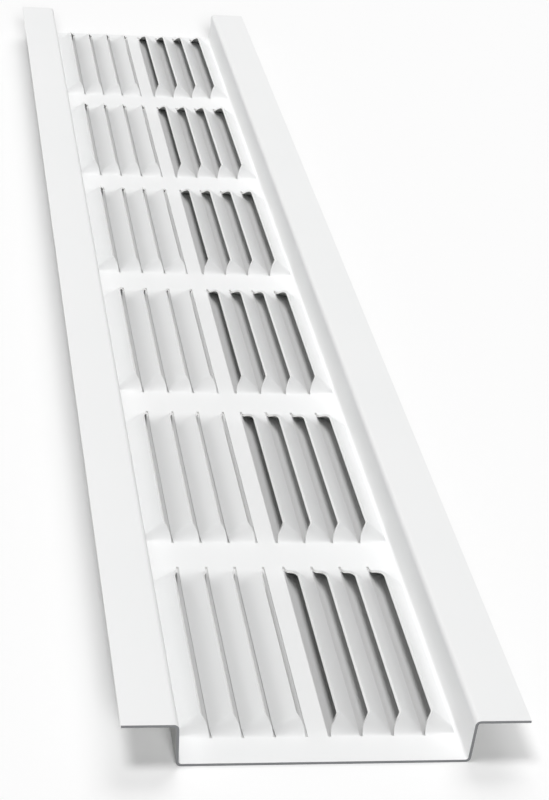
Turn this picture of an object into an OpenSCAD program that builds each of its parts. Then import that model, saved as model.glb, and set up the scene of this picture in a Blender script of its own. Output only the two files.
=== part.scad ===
// Strip soffit vent: one length of thin coated aluminium sheet, roll-formed into a
// shallow hat section, with banks of lengthwise louvres lanced and raised out of its web.
// X runs across the strip, Y along it and Z up. The web lies on the floor with its channel
// facing up, and the origin is under the middle of the strip.

/* [Sheet] */
// Thickness of the coated sheet
sheet_t = 0.5; // [0.4:0.05:0.7]
// Inside radius of every rolled bend
bend_r = 0.5; // [0.3:0.1:1]

/* [Hat section] */
// Width of the channel over its outside faces, at the web
web_w = 50.8; // [46:0.1:60]
// Width over the two flanges
overall_w = 70; // [66:0.5:90]
// Height from the web's underside to the top of the flanges
section_h = 8.5; // [8:0.25:16]
// Outward lean of each side wall from upright, in degrees
wall_lean = 3; // [0:0.5:10]

/* [Louvre banks] */
// Number of louvre banks along the strip
banks = 6; // [1:1:8]
// Distance from one bank to the next
bank_pitch = 63.5; // [50:0.1:100]
// Plain sheet between the slit tips of one bank and those of the next
bank_gap = 8.75; // [7.5:0.25:15]
// Plain sheet between the near end of the strip and the first slit tips
near_margin = 7; // [1:0.1:7.2]

/* [Louvres] */
// Louvres on each side of the plain centre strip
louvres_per_side = 4; // [2:1:5]
// Width of the plain strip along the middle of the web
centre_strip_w = 4; // [2:0.5:8]
// Flat sheet between the outermost louvre and the start of the side wall's bend
hinge_margin = 0.2; // [0.1:0.1:1]
// Tilt of the blades along their straight middle, in degrees
blade_tilt = 46; // [10:1:50]
// Length over which each end of a blade twists back into the web
twist_len = 5.5; // [3:0.5:12]
// Width of the cut between two neighbouring blades, before they are raised
kerf = 0.12; // [0.05:0.01:0.2]

/* [Hidden] */

$fn = 48;
strip_len = banks * bank_pitch;
bend_out = bend_r + sheet_t;

// The side wall leans out between two bends, whose centres are these points
foot_x = web_w / 2 - bend_out;
wall_len = (section_h - 2 * bend_out + (bend_out + bend_r) * sin(wall_lean)) / cos(wall_lean);
flange_x = foot_x + (bend_out + bend_r) * cos(wall_lean) + wall_len * sin(wall_lean);
foot_bend = [foot_x, bend_out];
flange_bend = [flange_x, section_h - bend_out];

// The louvres: slit lines run from the centre strip out to the hinge line beside the wall
louvre_len = bank_pitch - bank_gap;
hinge_x = foot_x - hinge_margin;
louvre_pitch = (hinge_x - centre_strip_w / 2) / louvres_per_side;
twist_steps = 6;

// Overlap that joins each blade to the sheet round its window
lap = 0.25;
// Clearance by which a cutting tool passes the faces that it cuts
cut = 1;

// Sector of a ring in the plane of the section, from angle a0 to angle a1
module bend(a0, a1) {
  far = 2 * bend_out;
  intersection() {
    difference() {
      circle(bend_out);
      circle(bend_r);
    }
    polygon([
      [0, 0],
      far * [cos(a0), sin(a0)],
      far * [cos((a0 + a1) / 2), sin((a0 + a1) / 2)],
      far * [cos(a1), sin(a1)]
    ]);
  }
}

// Right half of the hat section: web, bend, leaning wall, bend and flange
module half_section() {
  square([foot_x, sheet_t]);
  translate(foot_bend) bend(-90, -wall_lean);
  translate(foot_bend) rotate(-wall_lean) translate([bend_r, 0]) square([sheet_t, wall_len]);
  translate(flange_bend) bend(90, 180 - wall_lean);
  translate([flange_x, section_h - sheet_t]) square([overall_w / 2 - flange_x, sheet_t]);
}

// Smooth step from 0 to 1, level at both ends
function ease(u) = u * u * (3 - 2 * u);

// Stations along a blade: a lap into the sheet, the twist, the straight middle, and back
twist_stations = [for (i = [0:twist_steps]) twist_len * i / twist_steps];
blade_stations = concat(
  [-lap],
  twist_stations,
  [for (i = [twist_steps:-1:0]) louvre_len - twist_stations[i]],
  [louvre_len + lap]
);
function tilt_at(y) =
  blade_tilt * ease(max(0, min(1, min(y, louvre_len - y) / twist_len)));

// The four corners of a blade's section at station y: it turns about its outer edge, which
// stays at the level of the web, so the edge nearer the middle of the strip is raised
function blade_ring(outer_x, width, y) =
  let (
    a = tilt_at(y),
    along = [-cos(a), 0, sin(a)],
    up = [sin(a), 0, cos(a)],
    hinge = [outer_x, y, sheet_t / 2]
  )
  [
    hinge - sheet_t / 2 * up,
    hinge + sheet_t / 2 * up,
    hinge + sheet_t / 2 * up + width * along,
    hinge - sheet_t / 2 * up + width * along
  ];

// One blade, as rings of four corners joined from end to end
module blade(outer_x, width) {
  rings = len(blade_stations);
  points = [for (y = blade_stations) each blade_ring(outer_x, width, y)];
  sides = [
    for (r = [0:rings - 2], k = [0:3])
      let (a = 4 * r + k, b = 4 * r + (k + 1) % 4)
      each [[a, b, b + 4], [a, b + 4, a + 4]]
  ];
  last = 4 * (rings - 1);
  ends = [[0, 3, 2, 1], [last, last + 1, last + 2, last + 3]];
  polyhedron(points, concat(sides, ends));
}

// The blades on one side of a bank, and the window in the web that they are raised from
module blade_row() {
  for (i = [1:louvres_per_side]) {
    outermost = i == louvres_per_side;
    outer_x = centre_strip_w / 2 + i * louvre_pitch - (outermost ? 0 : kerf / 2);
    blade(outer_x, louvre_pitch - kerf / (outermost ? 2 : 1));
  }
}

module window() {
  inner_x = centre_strip_w / 2;
  translate([inner_x, 0, -cut])
    cube([hinge_x - lap - inner_x, louvre_len, sheet_t + 2 * cut]);
}

// Copies its child into both halves of every bank
module in_each_half_bank() {
  for (b = [0:banks - 1], side = [0, 1])
    translate([0, near_margin + b * bank_pitch - strip_len / 2, 0])
      mirror([side, 0, 0]) children();
}

module hat_section_strip() {
  rotate([90, 0, 0]) linear_extrude(strip_len, center = true) {
    half_section();
    mirror([1, 0]) half_section();
  }
}

// The whole vent is this one piece of sheet
module louvred_strip() {
  color("white") {
    difference() {
      hat_section_strip();
      in_each_half_bank() window();
    }
    in_each_half_bank() blade_row();
  }
}

louvred_strip();
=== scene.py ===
"""Looks of a strip soffit vent: one length of coated aluminium sheet with raised louvres.

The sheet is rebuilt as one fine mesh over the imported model, from the same sizes, so that the
blades twist smoothly into the web and each side of the sheet carries its own finish.
"""

import logging
import math
from collections.abc import Sequence
from dataclasses import dataclass, field
from enum import Enum

import bmesh
import bpy
from mathutils import Matrix, Vector


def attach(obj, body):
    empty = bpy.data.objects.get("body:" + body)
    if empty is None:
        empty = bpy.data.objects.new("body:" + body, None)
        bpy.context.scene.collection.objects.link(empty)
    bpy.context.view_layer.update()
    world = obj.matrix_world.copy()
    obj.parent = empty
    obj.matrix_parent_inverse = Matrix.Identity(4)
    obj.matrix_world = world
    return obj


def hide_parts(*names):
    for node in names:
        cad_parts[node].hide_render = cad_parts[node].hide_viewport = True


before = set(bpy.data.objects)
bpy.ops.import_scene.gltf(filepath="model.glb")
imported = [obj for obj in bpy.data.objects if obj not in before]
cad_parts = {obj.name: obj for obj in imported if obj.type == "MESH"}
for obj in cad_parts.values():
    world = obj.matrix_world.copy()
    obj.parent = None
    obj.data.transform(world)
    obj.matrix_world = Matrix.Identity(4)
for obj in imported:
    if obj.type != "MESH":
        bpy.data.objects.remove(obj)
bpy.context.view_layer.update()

NODE = "louvred_strip"
BODY = "root"
MM = 0.001
# Places less than this many millimetres apart count as the same
SAME_PLACE = 1e-3
# The Mix node's sockets for colours, by index, because its other sockets share their names
MIX_COLOUR_A = 6
MIX_COLOUR_B = 7
MIX_COLOUR_RESULT = 2

log = logging.getLogger("strip_vent")


class Side(Enum):
    """Where a face of the sheet lies, and so which finish it has: its value is the slot index."""

    FACE = 0
    BACK = 1
    LANCED_EDGE = 2
    SHEARED_END = 3


def linear_rgba(hex_colour: str) -> tuple[float, float, float, float]:
    """Turns an sRGB hex colour into the linear RGBA that the shader sockets take.

    Args:
        hex_colour: A colour such as "#F4F4F3".

    Returns:
        Linear red, green and blue, and an alpha of 1.
    """
    channels = [int(hex_colour[i : i + 2], 16) / 255 for i in (1, 3, 5)]
    r, g, b = (c / 12.92 if c <= 0.04045 else ((c + 0.055) / 1.055) ** 2.4 for c in channels)
    return r, g, b, 1.0


def add_node(
    tree: bpy.types.NodeTree,
    kind: str,
    settings: dict[str, object] | None = None,
    values: dict[str | int, object] | None = None,
    links: dict[str | int, bpy.types.NodeSocket] | None = None,
) -> bpy.types.Node:
    """Adds one node to a tree, with its settings, its socket values and its links.

    Args:
        tree: The node tree that the node goes into.
        kind: The node's bl_idname.
        settings: Properties of the node itself.
        values: Plain values by input socket name or index.
        links: Output sockets of other nodes by input socket name or index.

    Returns:
        The new node.
    """
    node = tree.nodes.new(kind)
    for name, value in (settings or {}).items():
        setattr(node, name, value)
    for name, value in (values or {}).items():
        node.inputs[name].default_value = value
    for name, source in (links or {}).items():
        tree.links.new(source, node.inputs[name])
    return node


def empty_material(name: str) -> tuple[bpy.types.Material, bpy.types.NodeTree]:
    """Makes a node material with nothing in it yet.

    Args:
        name: The material's name.

    Returns:
        The material and its node tree.
    """
    material = bpy.data.materials.new(name)
    material.use_nodes = True
    material.node_tree.nodes.clear()
    return material, material.node_tree


def new_object(name: str, data: bpy.types.ID) -> bpy.types.Object:
    """Makes an object of a mesh, a lamp or a camera, and puts it in the scene.

    Args:
        name: The object's name.
        data: The mesh, the lamp or the camera.

    Returns:
        The object, at the origin.
    """
    thing = bpy.data.objects.new(name, data)
    bpy.context.scene.collection.objects.link(thing)
    return thing


def flat_sheet(
    width: float, length: float, columns: Sequence[float] = (), rows: Sequence[float] = ()
) -> bmesh.types.BMesh:
    """Makes a level rectangle round the origin, with lines of vertices where they are asked for.

    Args:
        width: Its size along X.
        length: Its size along Y.
        columns: Values of X for the lengthwise lines.
        rows: Values of Y for the crosswise lines.

    Returns:
        The rectangle as a bmesh.
    """
    bm = bmesh.new()
    bmesh.ops.create_grid(bm, x_segments=1, y_segments=1, size=0.5)
    bmesh.ops.scale(bm, vec=(width, length, 1), verts=bm.verts)
    lines = [((x, 0, 0), (1, 0, 0)) for x in columns] + [((0, y, 0), (0, 1, 0)) for y in rows]
    for point, normal in lines:
        geom = [*bm.verts, *bm.edges, *bm.faces]
        bmesh.ops.bisect_plane(bm, geom=geom, plane_co=point, plane_no=normal)
    return bm


@dataclass(frozen=True)
class CoilCoat:
    """White polyester coil coating, baked on the flat sheet before it is rolled.

    It is an even satin white. A faint orange peel breaks up its reflections, and the forming
    rolls leave it a little smoother in lengthwise bands.
    """

    name: str = "white_polyester_coil_coat"
    colour: str = "#F4F4F4"
    clouded_colour: str = "#F0F1F1"
    cloud_mm: float = 28.0
    roughness_low: float = 0.42
    roughness_high: float = 0.54
    band_mm: float = 1.7
    band_squeeze: float = 0.01
    peel_mm: float = 1.1
    peel_depth_mm: float = 0.004
    peel_strength: float = 0.5
    ior: float = 1.5

    def build(self) -> bpy.types.Material:
        """Makes the coating's material.

        Returns:
            The material, on Object coordinates.
        """
        material, tree = empty_material(self.name)
        place = add_node(tree, "ShaderNodeTexCoord").outputs["Object"]
        cloud = add_node(
            tree,
            "ShaderNodeTexNoise",
            values={"Scale": 1 / (self.cloud_mm * MM), "Detail": 2.0},
            links={"Vector": place},
        )
        tint = add_node(
            tree,
            "ShaderNodeMix",
            settings={"data_type": "RGBA"},
            values={
                MIX_COLOUR_A: linear_rgba(self.colour),
                MIX_COLOUR_B: linear_rgba(self.clouded_colour),
            },
            links={"Factor": cloud.outputs["Fac"]},
        )
        # Squeezing Object coordinates along Y draws the pattern out into bands along the strip
        along_rolls = add_node(
            tree,
            "ShaderNodeVectorMath",
            settings={"operation": "MULTIPLY"},
            values={1: (1.0, self.band_squeeze, 1.0)},
            links={0: place},
        )
        bands = add_node(
            tree,
            "ShaderNodeTexNoise",
            values={"Scale": 1 / (self.band_mm * MM), "Detail": 1.0},
            links={"Vector": along_rolls.outputs[0]},
        )
        rough = add_node(
            tree,
            "ShaderNodeMapRange",
            values={"To Min": self.roughness_low, "To Max": self.roughness_high},
            links={"Value": bands.outputs["Fac"]},
        )
        peel = add_node(
            tree,
            "ShaderNodeTexNoise",
            values={"Scale": 1 / (self.peel_mm * MM), "Detail": 2.0},
            links={"Vector": place},
        )
        bump = add_node(
            tree,
            "ShaderNodeBump",
            values={"Strength": self.peel_strength, "Distance": self.peel_depth_mm * MM},
            links={"Height": peel.outputs["Fac"]},
        )
        shader = add_node(
            tree,
            "ShaderNodeBsdfPrincipled",
            values={"IOR": self.ior},
            links={
                "Base Color": tint.outputs[MIX_COLOUR_RESULT],
                "Roughness": rough.outputs["Result"],
                "Normal": bump.outputs["Normal"],
            },
        )
        add_node(tree, "ShaderNodeOutputMaterial", links={"Surface": shader.outputs["BSDF"]})
        return material


@dataclass(frozen=True)
class WashCoat:
    """Thin grey wash coat on the back of the coil, through which the metal dulls the colour.

    It is duller and greyer than the face, with drifting patches where the coat runs thin.
    """

    name: str = "grey_wash_coat"
    colour: str = "#969795"
    thin_colour: str = "#868886"
    patch_mm: float = 9.0
    roughness: float = 0.55
    grain_mm: float = 0.8
    grain_depth_mm: float = 0.004
    grain_strength: float = 0.6

    def build(self) -> bpy.types.Material:
        """Makes the wash coat's material.

        Returns:
            The material, on Object coordinates.
        """
        material, tree = empty_material(self.name)
        place = add_node(tree, "ShaderNodeTexCoord").outputs["Object"]
        patches = add_node(
            tree,
            "ShaderNodeTexNoise",
            values={"Scale": 1 / (self.patch_mm * MM), "Detail": 3.0},
            links={"Vector": place},
        )
        tint = add_node(
            tree,
            "ShaderNodeMix",
            settings={"data_type": "RGBA"},
            values={
                MIX_COLOUR_A: linear_rgba(self.colour),
                MIX_COLOUR_B: linear_rgba(self.thin_colour),
            },
            links={"Factor": patches.outputs["Fac"]},
        )
        grain = add_node(
            tree,
            "ShaderNodeTexNoise",
            values={"Scale": 1 / (self.grain_mm * MM), "Detail": 2.0},
            links={"Vector": place},
        )
        bump = add_node(
            tree,
            "ShaderNodeBump",
            values={"Strength": self.grain_strength, "Distance": self.grain_depth_mm * MM},
            links={"Height": grain.outputs["Fac"]},
        )
        shader = add_node(
            tree,
            "ShaderNodeBsdfPrincipled",
            values={"Roughness": self.roughness},
            links={
                "Base Color": tint.outputs[MIX_COLOUR_RESULT],
                "Normal": bump.outputs["Normal"],
            },
        )
        add_node(tree, "ShaderNodeOutputMaterial", links={"Surface": shader.outputs["BSDF"]})
        return material


@dataclass(frozen=True)
class CutEdge:
    """Aluminium at a cut, scored across the sheet's thickness by the tool.

    Where a lance raises a blade, the coat is dragged over part of the edge, which stays light
    and glints. A sheared end is bare metal, dulled by handling; its dark grey is also painted
    shade, for the strip's end edge that lies in shade against the table.
    """

    name: str
    colour: str
    metallic: float
    roughness: float
    score_mm: float = 0.35
    score_depth_mm: float = 0.01
    score_strength: float = 0.6

    def build(self) -> bpy.types.Material:
        """Makes the cut edge's material.

        Returns:
            The material, on Object coordinates.
        """
        material, tree = empty_material(self.name)
        place = add_node(tree, "ShaderNodeTexCoord").outputs["Object"]
        scores = add_node(
            tree,
            "ShaderNodeTexNoise",
            values={"Scale": 1 / (self.score_mm * MM), "Detail": 2.0},
            links={"Vector": place},
        )
        bump = add_node(
            tree,
            "ShaderNodeBump",
            values={"Strength": self.score_strength, "Distance": self.score_depth_mm * MM},
            links={"Height": scores.outputs["Fac"]},
        )
        shader = add_node(
            tree,
            "ShaderNodeBsdfPrincipled",
            values={
                "Base Color": linear_rgba(self.colour),
                "Metallic": self.metallic,
                "Roughness": self.roughness,
            },
            links={"Normal": bump.outputs["Normal"]},
        )
        add_node(tree, "ShaderNodeOutputMaterial", links={"Surface": shader.outputs["BSDF"]})
        return material


@dataclass
class LouvreBanks:
    """The lengthwise louvres, cut and raised out of the flat web.

    Sizes are in millimetres. The banks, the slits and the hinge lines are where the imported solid
    has them. The blades are finer than its own: a short twist raises their near ends, a long one
    their far ends, and the slots stay open up to their tips, where the blades are level.
    """

    banks: int = 6
    bank_pitch: float = 63.5
    bank_gap: float = 8.75
    near_margin: float = 7.0
    per_side: int = 4
    centre_strip_w: float = 4.0
    tilt_deg: float = 42.0
    near_twist: float = 3.0
    far_twist: float = 8.5
    kerf: float = 0.5
    twist_steps: int = 14
    tilt_decimals: int = 5

    @property
    def strip_len(self) -> float:
        """Length of the strip, which is a whole number of banks."""
        return self.banks * self.bank_pitch

    @property
    def louvre_len(self) -> float:
        """Length of the slits, from tip to tip."""
        return self.bank_pitch - self.bank_gap

    def starts(self) -> list[float]:
        """Where the near slit tips of each bank are, along Y."""
        near = self.near_margin - self.strip_len / 2
        return [near + b * self.bank_pitch for b in range(self.banks)]

    def stations(self) -> list[float]:
        """Places the rows of vertices of one bank, which lie close where its blades twist.

        Returns:
            Distances from the near slit tips.
        """
        steps = [i / self.twist_steps for i in range(self.twist_steps + 1)]
        near = [self.near_twist * u for u in steps]
        far = [self.louvre_len - self.far_twist * u for u in steps]
        return near + far

    def slit_x(self, hinge_x: float) -> list[float]:
        """Spaces the slits evenly from the centre strip out to the outer hinge line.

        Args:
            hinge_x: Distance of the outer hinge line from the middle.

        Returns:
            Distances of the slits from the middle of the strip, then that of the hinge line.
        """
        inner = self.centre_strip_w / 2
        pitch = (hinge_x - inner) / self.per_side
        return [inner + i * pitch for i in range(self.per_side + 1)]

    def columns(self, hinge_x: float) -> list[float]:
        """Places the lengthwise lines of vertices, two for each slit and one for each hinge.

        Args:
            hinge_x: Distance of the outer hinge line from the middle.

        Returns:
            Values of X, on both sides of the middle.
        """
        *slits, hinge = self.slit_x(hinge_x)
        right = [x + side * self.kerf / 2 for x in slits for side in (-1, 1)] + [hinge]
        return [-x for x in right] + right

    def rows(self) -> list[float]:
        """Every Y at which the web needs a line of vertices."""
        return [start + d for start in self.starts() for d in self.stations()]

    def tilt_at(self, along: float) -> float:
        """Works out a blade's tilt, which eases in from level at both of its ends.

        Args:
            along: Distance from the blade's near slit tip.

        Returns:
            The tilt in radians.
        """
        from_near = along / self.near_twist
        from_far = (self.louvre_len - along) / self.far_twist
        u = max(0.0, min(1.0, from_near, from_far))
        return math.radians(self.tilt_deg) * u * u * (3 - 2 * u)

    def along_bank(self, y: float) -> float | None:
        """Finds where in its bank a place along the strip is.

        Args:
            y: The place along the strip.

        Returns:
            Its distance from the near slit tips of its bank, or None between banks.
        """
        for start in self.starts():
            if start - SAME_PLACE <= y <= start + self.louvre_len + SAME_PLACE:
                return y - start
        return None

    def cut(self, bm: bmesh.types.BMesh, hinge_x: float) -> None:
        """Opens the slits by taking out the narrow faces between the two sides of each cut.

        Args:
            bm: The flat web, in millimetres.
            hinge_x: Distance of the outer hinge line from the middle.
        """
        slits = self.slit_x(hinge_x)[:-1]
        waste = []
        for face in bm.faces:
            middle = face.calc_center_median()
            in_slit = any(abs(abs(middle.x) - x) < self.kerf / 2 for x in slits)
            if in_slit and self.along_bank(middle.y) is not None:
                waste.append(face)
        bmesh.ops.delete(bm, geom=waste, context="FACES")

    def lift(self, bm: bmesh.types.BMesh, hinge_x: float) -> None:
        """Turns every blade up about its outer edge, by the tilt at each row of vertices.

        Args:
            bm: The slit web, in millimetres.
            hinge_x: Distance of the outer hinge line from the middle.
        """
        slits = self.slit_x(hinge_x)
        half = self.kerf / 2
        # Vertices of the same blade, on either side, that turn by the same tilt
        turning: dict[tuple[int, int, float], list[bmesh.types.BMVert]] = {}
        for vert in bm.verts:
            along = self.along_bank(vert.co.y)
            if along is None:
                continue
            side = 1 if vert.co.x > 0 else -1
            for i in range(self.per_side):
                inner, outer = slits[i] + half, slits[i + 1] - half
                if inner - SAME_PLACE <= abs(vert.co.x) < outer - SAME_PLACE:
                    key = side, i, round(self.tilt_at(along), self.tilt_decimals)
                    turning.setdefault(key, []).append(vert)
        for (side, i, tilt), verts in turning.items():
            outermost = i == self.per_side - 1
            hinge = slits[i + 1] - (0 if outermost else half)
            bmesh.ops.rotate(
                bm,
                verts=verts,
                cent=(side * hinge, 0, verts[0].co.z),
                matrix=Matrix.Rotation(side * tilt, 3, "Y"),
            )


@dataclass
class HatSection:
    """The rolled section, drawn along the middle of the sheet's thickness, in millimetres."""

    web_w: float = 50.8
    overall_w: float = 70.0
    height: float = 8.5
    sheet_t: float = 0.5
    bend_r: float = 0.5
    wall_lean_deg: float = 3.0
    hinge_margin: float = 0.2
    bend_steps: int = 8

    @property
    def bend_out(self) -> float:
        """Outside radius of a bend."""
        return self.bend_r + self.sheet_t

    @property
    def lean(self) -> float:
        """Outward lean of the side walls, in radians."""
        return math.radians(self.wall_lean_deg)

    @property
    def foot_x(self) -> float:
        """Half the width of the flat web, up to the start of the bend."""
        return self.web_w / 2 - self.bend_out

    @property
    def hinge_x(self) -> float:
        """Distance of the outermost blade's hinge from the middle of the strip."""
        return self.foot_x - self.hinge_margin

    @property
    def wall_len(self) -> float:
        """Length of the straight part of the side wall."""
        rise = self.height - 2 * self.bend_out + (self.bend_out + self.bend_r) * math.sin(self.lean)
        return rise / math.cos(self.lean)

    @property
    def flange_x(self) -> float:
        """Where the flange's flat part starts, from the middle of the strip."""
        across = (self.bend_out + self.bend_r) * math.cos(self.lean)
        return self.foot_x + across + self.wall_len * math.sin(self.lean)

    def web(self, length: float, columns: list[float], rows: list[float]) -> bmesh.types.BMesh:
        """Makes the flat web, with lines of vertices where they are asked for.

        Args:
            length: Length of the strip.
            columns: Values of X for the lengthwise lines.
            rows: Values of Y for the crosswise lines.

        Returns:
            The web as a bmesh, at the middle of the sheet's thickness.
        """
        bm = flat_sheet(2 * self.foot_x, length, columns, rows)
        bmesh.ops.translate(bm, vec=(0, 0, self.sheet_t / 2), verts=bm.verts)
        return bm

    def fold(self, bm: bmesh.types.BMesh, side: int) -> None:
        """Rolls up one side wall and its flange from the edge of the web.

        Args:
            bm: The web.
            side: 1 for the right side, -1 for the left.
        """
        edge_x = side * self.foot_x
        rim = [
            edge
            for edge in bm.edges
            if edge.is_boundary and all(abs(v.co.x - edge_x) < SAME_PLACE for v in edge.verts)
        ]
        turn = side * (math.pi / 2 - self.lean)
        up_the_wall = Vector((side * math.sin(self.lean), 0, math.cos(self.lean))) * self.wall_len
        flange = Vector((side * (self.overall_w / 2 - self.flange_x), 0, 0))
        top = self.height - self.bend_out
        rim = self.bend(bm, rim, (edge_x, self.bend_out), -turn)
        rim = self.draw_out(bm, rim, up_the_wall)
        rim = self.bend(bm, rim, (side * self.flange_x, top), turn)
        self.draw_out(bm, rim, flange)

    def bend(
        self,
        bm: bmesh.types.BMesh,
        rim: list[bmesh.types.BMEdge],
        centre: tuple[float, float],
        angle: float,
    ) -> list[bmesh.types.BMEdge]:
        """Spins a rim of edges round a bend.

        Args:
            bm: The sheet.
            rim: The edges to spin.
            centre: X and Z of the bend's centre.
            angle: The turn about +Y in radians.

        Returns:
            The edges at the end of the bend.
        """
        made = bmesh.ops.spin(
            bm,
            geom=[*rim, *{v for edge in rim for v in edge.verts}],
            cent=(centre[0], 0, centre[1]),
            axis=(0, 1, 0),
            angle=angle,
            steps=self.bend_steps,
            use_duplicate=False,
            use_merge=False,
        )
        return [g for g in made["geom_last"] if isinstance(g, bmesh.types.BMEdge)]

    @staticmethod
    def draw_out(
        bm: bmesh.types.BMesh, rim: list[bmesh.types.BMEdge], by: Vector
    ) -> list[bmesh.types.BMEdge]:
        """Extrudes a rim of edges in a straight line.

        Args:
            bm: The sheet.
            rim: The edges to extrude.
            by: How far, and which way.

        Returns:
            The edges at the far side of the new strip.
        """
        made = bmesh.ops.extrude_edge_only(bm, edges=rim)["geom"]
        verts = [g for g in made if isinstance(g, bmesh.types.BMVert)]
        bmesh.ops.translate(bm, vec=by, verts=verts)
        return [g for g in made if isinstance(g, bmesh.types.BMEdge)]


@dataclass
class StripVent:
    """The vent: one louvred, rolled sheet with a finish on each side and on its cuts."""

    name: str = "coated_louvred_sheet"
    section: HatSection = field(default_factory=HatSection)
    louvres: LouvreBanks = field(default_factory=LouvreBanks)
    face: CoilCoat = CoilCoat()
    back: WashCoat = WashCoat()
    lanced: CutEdge = CutEdge(
        "lanced_edge_with_dragged_coat", colour="#F2F2F1", metallic=0.6, roughness=0.3
    )
    # Sheared ends: dull bare metal, with painted shade in their dark grey for the end edge against
    # the table
    sheared: CutEdge = CutEdge(
        "sheared_end_dull_metal_and_painted_shade", colour="#8E9092", metallic=0.3, roughness=0.5
    )
    smooth_deg: float = 35.0

    def middle_sheet(self) -> bmesh.types.BMesh:
        """Builds the sheet without thickness, along the middle of the metal.

        Returns:
            The sheet as an open bmesh, in millimetres.
        """
        section, louvres = self.section, self.louvres
        bm = section.web(louvres.strip_len, louvres.columns(section.hinge_x), louvres.rows())
        louvres.cut(bm, section.hinge_x)
        for side in (1, -1):
            section.fold(bm, side)
        louvres.lift(bm, section.hinge_x)
        bmesh.ops.remove_doubles(bm, verts=bm.verts, dist=SAME_PLACE)
        bmesh.ops.recalc_face_normals(bm, faces=bm.faces)
        self.turn_face_up(bm)
        return bm

    @staticmethod
    def turn_face_up(bm: bmesh.types.BMesh) -> None:
        """Makes the coated side the front of every face: the web's front looks up.

        Args:
            bm: The open sheet, with its faces turned alike.
        """
        web = min(bm.faces, key=lambda f: f.calc_center_median().length)
        if web.normal.z < 0:
            bmesh.ops.reverse_faces(bm, faces=bm.faces)

    def thicken(self, piece: bpy.types.Object) -> None:
        """Gives the sheet its thickness, with a slot for each side and for the cut edges.

        Args:
            piece: The object of the open sheet, whose mesh this replaces with the solid one.
        """
        modifier = piece.modifiers.new("sheet_thickness", "SOLIDIFY")
        modifier.thickness = self.section.sheet_t * MM
        modifier.offset = 0
        modifier.use_even_offset = True
        modifier.use_quality_normals = True
        modifier.material_offset = Side.BACK.value
        modifier.material_offset_rim = Side.LANCED_EDGE.value
        evaluated = piece.evaluated_get(bpy.context.evaluated_depsgraph_get())
        solid = bpy.data.meshes.new_from_object(evaluated)
        solid.name = piece.data.name
        piece.modifiers.clear()
        piece.data = solid

    def mark_sheared_ends(self, mesh: bpy.types.Mesh) -> None:
        """Gives the faces at the two ends of the strip the dark finish of a sheared end, which is
        dull bare metal and partly painted shade.

        Args:
            mesh: The solid sheet, in metres.
        """
        end = (self.louvres.strip_len / 2 - SAME_PLACE) * MM
        for polygon in mesh.polygons:
            if abs(polygon.center.y) > end:
                polygon.material_index = Side.SHEARED_END.value

    def build(self) -> bpy.types.Object:
        """Builds the piece, dresses it and puts it on its body.

        Returns:
            The finished object.
        """
        bm = self.middle_sheet()
        bmesh.ops.scale(bm, vec=(MM, MM, MM), verts=bm.verts)
        mesh = bpy.data.meshes.new(self.name)
        bm.to_mesh(mesh)
        bm.free()
        piece = new_object(self.name, mesh)
        for finish in (self.face, self.back, self.lanced, self.sheared):
            mesh.materials.append(finish.build())
        self.thicken(piece)
        self.mark_sheared_ends(piece.data)
        piece.data.shade_smooth()
        piece.data.set_sharp_from_angle(angle=math.radians(self.smooth_deg))
        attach(piece, BODY)
        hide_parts(NODE)
        log.info("%s: %d faces", piece.name, len(piece.data.polygons))
        return piece


def keep_light_for(light: bpy.types.Object, *lit: bpy.types.Object) -> None:
    """Links a light to the only objects that it falls on.

    Args:
        light: The light's object.
        lit: The objects that it falls on.
    """
    receivers = bpy.data.collections.new(light.name + "_receivers")
    for thing in lit:
        receivers.objects.link(thing)
    light.light_linking.receiver_collection = receivers
    log.info("light %s", light.name)


@dataclass(frozen=True)
class SoftSun:
    """A distant soft light.

    Its share is the part of full white that it gives a level face. Its azimuth is 0 where it
    comes from the near end of the strip, and 90 where it comes from the right.
    """

    name: str
    share: float
    azimuth_deg: float
    zenith_deg: float
    angle_deg: float

    def build(self, *lit: bpy.types.Object) -> None:
        """Makes the light.

        Args:
            lit: The objects that the light falls on.
        """
        lamp = bpy.data.lights.new(self.name, "SUN")
        zenith = math.radians(self.zenith_deg)
        lamp.energy = math.pi * self.share / math.cos(zenith)
        lamp.angle = math.radians(self.angle_deg)
        sun = new_object(self.name, lamp)
        sun.rotation_euler = (zenith, 0, math.radians(self.azimuth_deg))
        keep_light_for(sun, *lit)


@dataclass(frozen=True)
class StripSoftbox:
    """A long softbox over the strip and along it, narrow across X. Its sizes are in metres."""

    name: str
    share: float
    height: float = 1.2
    width: float = 0.3
    length: float = 2.4
    offset: float = -0.05

    def build(self, *lit: bpy.types.Object) -> None:
        """Makes the softbox.

        Its power is set so that it gives a level face under it the stated share of full white.

        Args:
            lit: The objects that the light falls on.
        """
        lamp = bpy.data.lights.new(self.name, "AREA")
        lamp.shape = "RECTANGLE"
        lamp.size, lamp.size_y = self.width, self.length
        reach = self.length / 2 / self.height
        form_factor = self.width / self.height * (reach / (1 + reach**2) + math.atan(reach))
        lamp.energy = math.pi**2 * self.share * self.width * self.length / form_factor
        softbox = new_object(self.name, lamp)
        softbox.location = (self.offset, 0, self.height)
        keep_light_for(softbox, *lit)


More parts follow.
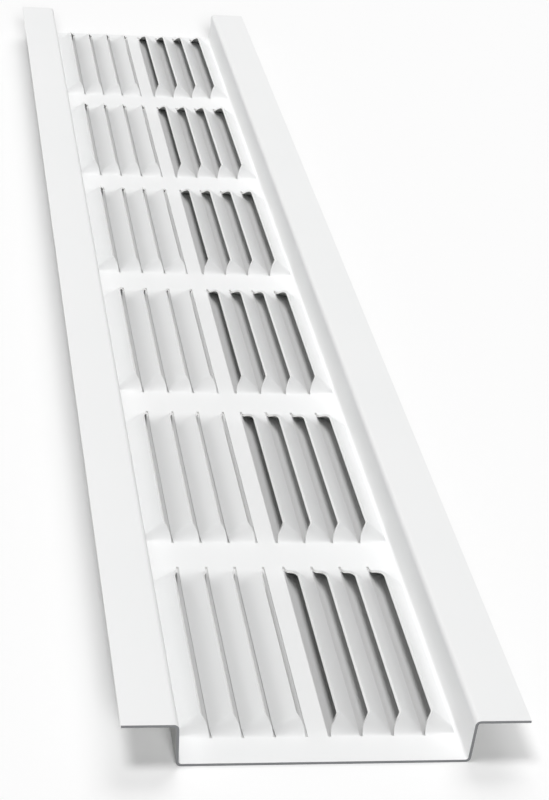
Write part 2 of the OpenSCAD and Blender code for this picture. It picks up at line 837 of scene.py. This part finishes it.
@dataclass
class Studio:
    """The pale table, the white surroundings and the soft lights.

    The part of the table that the web covers shows only through the louvres. It is a sheet of
    its own, so that the lights kept for the open table don't flood the slits. Sizes are in
    metres. The shares of the lights and the ambient light add up to 0.95 of full white on a
    level face of the vent, and to 0.99 on the open table.
    """

    table_size: float = 6.0
    table_colour: str = "#FDFDFD"
    covered_w: float = 0.049
    covered_len: float = 0.380
    surroundings_colour: str = "#FFFFFF"
    ambient: float = 0.06
    overhead: StripSoftbox = StripSoftbox("overhead_softbox", share=0.40)
    vent_lights: tuple[SoftSun, ...] = (
        SoftSun("top_fill", share=0.41, azimuth_deg=-90, zenith_deg=4, angle_deg=50),
        SoftSun("left_fill", share=0.05, azimuth_deg=-90, zenith_deg=70, angle_deg=40),
        SoftSun("right_fill", share=0.03, azimuth_deg=90, zenith_deg=45, angle_deg=60),
    )
    table_lights: tuple[SoftSun, ...] = (
        SoftSun("table_top_light", share=0.37, azimuth_deg=-90, zenith_deg=13, angle_deg=22),
        SoftSun("table_front_light", share=0.36, azimuth_deg=-2, zenith_deg=64, angle_deg=24),
        SoftSun("table_back_light", share=0.20, azimuth_deg=162, zenith_deg=46, angle_deg=34),
    )

    def table_paint(self) -> bpy.types.Material:
        """Makes the table's matte white.

        Returns:
            The material, which has no pattern.
        """
        material, tree = empty_material("matte_white_table")
        shader = add_node(
            tree,
            "ShaderNodeBsdfPrincipled",
            values={
                "Base Color": linear_rgba(self.table_colour),
                "Roughness": 1.0,
                "Specular IOR Level": 0.0,
            },
        )
        add_node(tree, "ShaderNodeOutputMaterial", links={"Surface": shader.outputs["BSDF"]})
        return material

    @staticmethod
    def lay(name: str, bm: bmesh.types.BMesh, paint: bpy.types.Material) -> bpy.types.Object:
        """Lays a level sheet at the height that the strip lies on.

        Args:
            name: The sheet's name.
            bm: Its shape, which this frees.
            paint: Its material.

        Returns:
            The sheet's object.
        """
        mesh = bpy.data.meshes.new(name)
        bm.to_mesh(mesh)
        bm.free()
        mesh.materials.append(paint)
        sheet = new_object(name, mesh)
        return sheet

    def covered_table(self, paint: bpy.types.Material) -> bpy.types.Object:
        """Lays the part of the table that the web covers."""
        return self.lay("covered_table", flat_sheet(self.covered_w, self.covered_len), paint)

    def open_table(self, paint: bpy.types.Material) -> bpy.types.Object:
        """Lays the rest of the table, with a hole where the web covers it.

        Args:
            paint: The table's material.

        Returns:
            The open table's object.
        """
        half_w, half_len = self.covered_w / 2, self.covered_len / 2
        hole_x, hole_y = (-half_w, half_w), (-half_len, half_len)
        bm = flat_sheet(self.table_size, self.table_size, hole_x, hole_y)
        middle = min(bm.faces, key=lambda f: f.calc_center_median().length)
        bmesh.ops.delete(bm, geom=[middle], context="FACES")
        return self.lay("open_table", bm, paint)

    def surroundings(self) -> None:
        """Makes the world: even white light, and plain white where it is seen or mirrored."""
        world = bpy.data.worlds.new("studio_world")
        world.use_nodes = True
        tree = world.node_tree
        tree.nodes.clear()
        path = add_node(tree, "ShaderNodeLightPath")
        seen = path.outputs["Is Camera Ray"]
        for ray in ("Is Glossy Ray", "Is Transmission Ray"):
            either = add_node(
                tree,
                "ShaderNodeMath",
                settings={"operation": "MAXIMUM"},
                links={0: seen, 1: path.outputs[ray]},
            )
            seen = either.outputs["Value"]
        colour = linear_rgba(self.surroundings_colour)
        light, white = (
            add_node(tree, "ShaderNodeBackground", values={"Color": colour, "Strength": strength})
            for strength in (self.ambient, 1.0)
        )
        mix = add_node(
            tree,
            "ShaderNodeMixShader",
            links={0: seen, 1: light.outputs["Background"], 2: white.outputs["Background"]},
        )
        add_node(tree, "ShaderNodeOutputWorld", links={"Surface": mix.outputs["Shader"]})
        bpy.context.scene.world = world

    def build(self, vent: bpy.types.Object) -> None:
        """Sets up the table, the world and the lights.

        Args:
            vent: The finished piece, which the fill lights are kept for.
        """
        paint = self.table_paint()
        covered = self.covered_table(paint)
        table = self.open_table(paint)
        self.surroundings()
        self.overhead.build(vent, covered)
        for sun in self.vent_lights:
            sun.build(vent)
        for sun in self.table_lights:
            sun.build(table)


@dataclass(frozen=True)
class PhotoCamera:
    """The camera at the photograph's viewing angle.

    Its place is in millimetres. Its turns are in radians: the yaw to the right, the pitch down
    and the roll anticlockwise about its line of sight. Its clip distances are in metres.
    """

    name: str = "photo_camera"
    place: tuple[float, float, float] = (-71.4, -484.0, 223.6)
    yaw: float = 0.1902
    pitch: float = 0.4763
    roll: float = 0.1010
    focal_px: float = 2193.0
    long_side_px: float = 800.0
    sensor_mm: float = 36.0
    clip_near: float = 0.01
    clip_far: float = 20.0

    def build(self) -> None:
        """Makes the camera and sets it as the scene's own."""
        data = bpy.data.cameras.new(self.name)
        data.sensor_fit = "AUTO"
        data.sensor_width = self.sensor_mm
        data.lens = self.focal_px / self.long_side_px * self.sensor_mm
        data.clip_start, data.clip_end = self.clip_near, self.clip_far
        camera = new_object(self.name, data)
        ahead = Vector(
            (
                math.sin(self.yaw) * math.cos(self.pitch),
                math.cos(self.yaw) * math.cos(self.pitch),
                -math.sin(self.pitch),
            )
        )
        level = Vector((math.cos(self.yaw), -math.sin(self.yaw), 0))
        upright = level.cross(ahead)
        right = math.cos(self.roll) * level + math.sin(self.roll) * upright
        up = math.cos(self.roll) * upright - math.sin(self.roll) * level
        turn = Matrix((right, up, -ahead)).transposed()
        camera.matrix_world = Matrix.Translation(Vector(self.place) * MM) @ turn.to_4x4()
        bpy.context.scene.camera = camera
        log.info("camera at %s mm", self.place)


def main() -> None:
    """Builds the vent, the studio and the camera."""
    logging.basicConfig(level=logging.INFO, format="%(name)s: %(message)s")
    bpy.context.scene.view_settings.view_transform = "Standard"
    PhotoCamera().build()
    vent = StripVent().build()
    Studio().build(vent)


if __name__ == "__main__":
    main()
